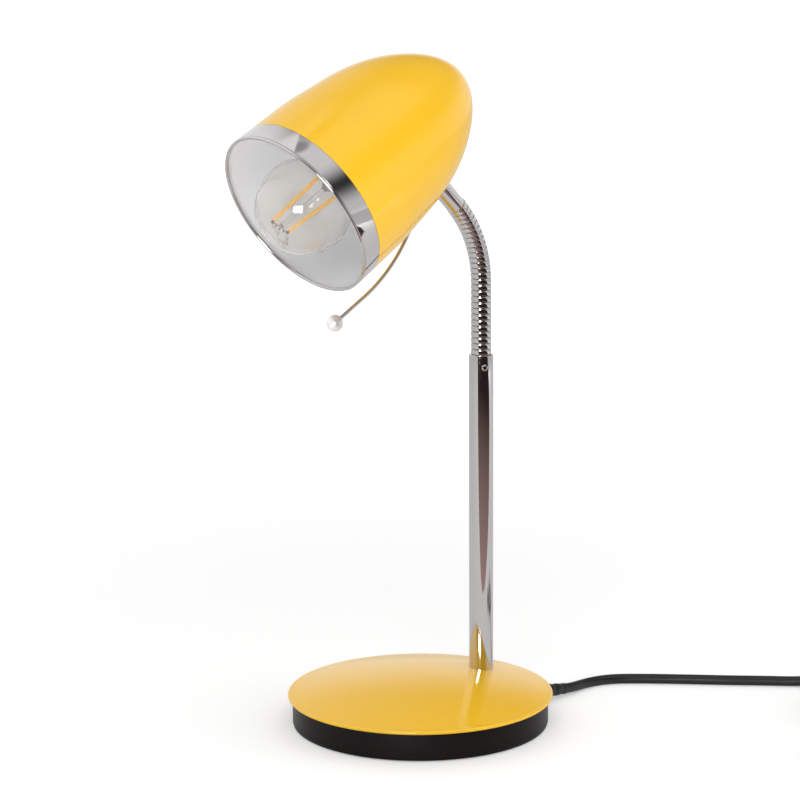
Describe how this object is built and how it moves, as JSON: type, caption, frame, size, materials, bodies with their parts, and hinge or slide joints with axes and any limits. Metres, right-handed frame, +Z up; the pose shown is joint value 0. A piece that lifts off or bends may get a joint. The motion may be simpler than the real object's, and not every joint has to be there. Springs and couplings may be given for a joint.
{
  "type": "desk lamp",
  "caption": "Desk lamp with a round weighted base, a tube stem, a ribbed bendable neck, a bullet-shaped shade with an aiming handle, a globe bulb and a corded plug.",
  "frame": {"origin": "centre of the base's pad, on the surface that the lamp stands on", "axes": "+Z up; the shade's mouth looks towards -Y and the stem stands at +Y; X = 0 is the plane that the lamp is symmetric about"},
  "size_m": [0.2694, 0.3411, 0.3273],
  "materials": {
    "yellow_paint": "gloss yellow enamel, white inside the shade",
    "black_tray": "matte black moulding",
    "iron_weight": "plain",
    "foam_pad": "soft pad",
    "screw_steel": "zinc plated",
    "chrome_parts": "bright plated",
    "brass_parts": "plain",
    "black_lead": "smooth sheath",
    "holder_plastic": "moulded",
    "bulb_clear": "clear",
    "bulb_shell": "plain",
    "filament_yellow": "coated",
    "bulb_wire": "wire",
    "black_plastic": "moulded",
    "rocker_plastic": "moulded",
    "plug_brass": "nickel plated"
  },
  "bodies": {
    "base": {"base_cover": "yellow_paint", "base_tray": "black_tray", "base_weight": "iron_weight", "base_pad": "foam_pad", "base_screws": "screw_steel", "cord_grommet": "black_lead", "stem_tube": "chrome_parts", "stem_nipple": "brass_parts", "foot_nut": "screw_steel", "foot_spacer": "screw_steel", "neck_socket": "brass_parts", "neck_set_screw": "screw_steel", "stem_lead": "black_lead", "neck_segment_0": "chrome_parts", "cord_free": "black_lead", "cord_link": "black_lead", "cord_coil": "black_lead", "cord_plug_lead": "black_lead", "cord_tie": "black_plastic", "switch_base": "black_plastic", "switch_cover": "black_plastic", "plug_body": "black_plastic", "plug_pins": "plug_brass"},
    "neck_1": {"neck_segment_1": "chrome_parts", "neck_lead_1": "black_lead"},
    "neck_2": {"neck_segment_2": "chrome_parts", "neck_lead_2": "black_lead"},
    "neck_3": {"neck_segment_3": "chrome_parts", "neck_lead_3": "black_lead"},
    "neck_4": {"neck_segment_4": "chrome_parts", "neck_lead_4": "black_lead"},
    "neck_5": {"neck_segment_5": "chrome_parts", "neck_lead_5": "black_lead"},
    "neck_6": {"neck_segment_6": "chrome_parts", "neck_lead_6": "black_lead"},
    "neck_7": {"neck_segment_7": "chrome_parts", "neck_lead_7": "black_lead"},
    "head": {"neck_segment_8": "chrome_parts", "head_ferrule": "chrome_parts", "head_washer": "screw_steel", "head_nut": "screw_steel", "head_lead": "black_lead", "holder_bracket": "screw_steel", "holder_shell": "holder_plastic", "holder_thread": "brass_parts", "holder_contact": "brass_parts", "holder_nut": "screw_steel", "bulb_glass": "bulb_clear", "bulb_cap": "bulb_shell", "bulb_contact": "brass_parts", "bulb_glass_stem": "bulb_clear", "bulb_filaments": "filament_yellow", "bulb_leads": "bulb_wire", "shade_shell": "yellow_paint", "shade_band": "chrome_parts", "handle_wire": "chrome_parts", "handle_ball": "chrome_parts", "handle_nut": "screw_steel"},
    "rocker": {"switch_rocker": "rocker_plastic"}
  },
  "joints": [
    {"name": "neck_bend_1", "type": "hinge", "parent": "base", "child": "neck_1", "pos_m": [0, 0.04035, 0.18753], "axis": [1, 0, 0], "range_deg": [-10, 10]},
    {"name": "neck_lean_1", "type": "hinge", "parent": "neck_1", "child": "neck_2", "pos_m": [0, 0.04035, 0.19626], "axis": [0, 1, 0], "range_deg": [-10, 10]},
    {"name": "neck_bend_2", "type": "hinge", "parent": "neck_2", "child": "neck_3", "pos_m": [0, 0.04035, 0.20499], "axis": [1, 0, 0], "range_deg": [-10, 10]},
    {"name": "neck_lean_2", "type": "hinge", "parent": "neck_3", "child": "neck_4", "pos_m": [0, 0.04035, 0.21372], "axis": [0, 1, 0], "range_deg": [-10, 10]},
    {"name": "neck_bend_3", "type": "hinge", "parent": "neck_4", "child": "neck_5", "pos_m": [0, 0.03967, 0.22241], "axis": [1, 0, 0], "range_deg": [-10, 10]},
    {"name": "neck_lean_3", "type": "hinge", "parent": "neck_5", "child": "neck_6", "pos_m": [0, 0.03763, 0.23089], "axis": [0, 0.9511, 0.309], "range_deg": [-10, 10]},
    {"name": "neck_bend_4", "type": "hinge", "parent": "neck_6", "child": "neck_7", "pos_m": [0, 0.03429, 0.23895], "axis": [1, 0, 0], "range_deg": [-10, 10]},
    {"name": "neck_lean_4", "type": "hinge", "parent": "neck_7", "child": "head", "pos_m": [0, 0.02974, 0.24639], "axis": [0, 0.809, 0.5878], "range_deg": [-10, 10]},
    {"name": "switch_rock", "type": "hinge", "parent": "base", "child": "rocker", "pos_m": [0.11538, 0.21266, 0.009], "axis": [-0.6921, 0.7218, 0], "range_deg": [0, 12]}
  ],
  "couplings": [
    {"joint": "neck_bend_2", "follows": "neck_bend_1", "ratio": 1},
    {"joint": "neck_lean_2", "follows": "neck_lean_1", "ratio": 1},
    {"joint": "neck_bend_3", "follows": "neck_bend_1", "ratio": 1},
    {"joint": "neck_lean_3", "follows": "neck_lean_1", "ratio": 1},
    {"joint": "neck_bend_4", "follows": "neck_bend_1", "ratio": 1},
    {"joint": "neck_lean_4", "follows": "neck_lean_1", "ratio": 1}
  ]
}
